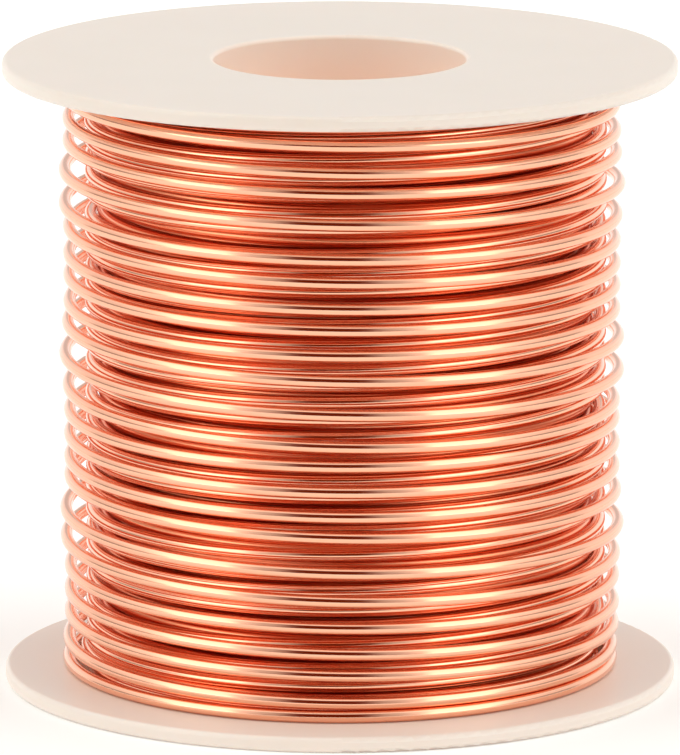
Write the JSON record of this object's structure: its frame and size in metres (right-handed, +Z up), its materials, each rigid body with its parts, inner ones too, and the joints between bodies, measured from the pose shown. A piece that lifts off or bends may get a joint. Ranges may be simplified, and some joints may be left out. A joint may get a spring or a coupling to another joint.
{
  "type": "enamelled copper wire coil",
  "caption": "Thick enamelled copper wire wound in open crossing layers on a white plastic spool with round flanges and a through bore, standing on one flange.",
  "frame": {"origin": "on the spool's axis, in the plane of the lower flange's outer face", "axes": "+Z up along the spool's axis, X and Y free round it"},
  "size_m": [0.07, 0.07, 0.0656],
  "materials": {
    "spool_plastic": "satin natural white, slightly translucent",
    "enamelled_copper": "bright drawn copper under clear enamel"
  },
  "bodies": {
    "root": {"spool": "spool_plastic", "wire_winding": "enamelled_copper"}
  },
  "joints": []
}
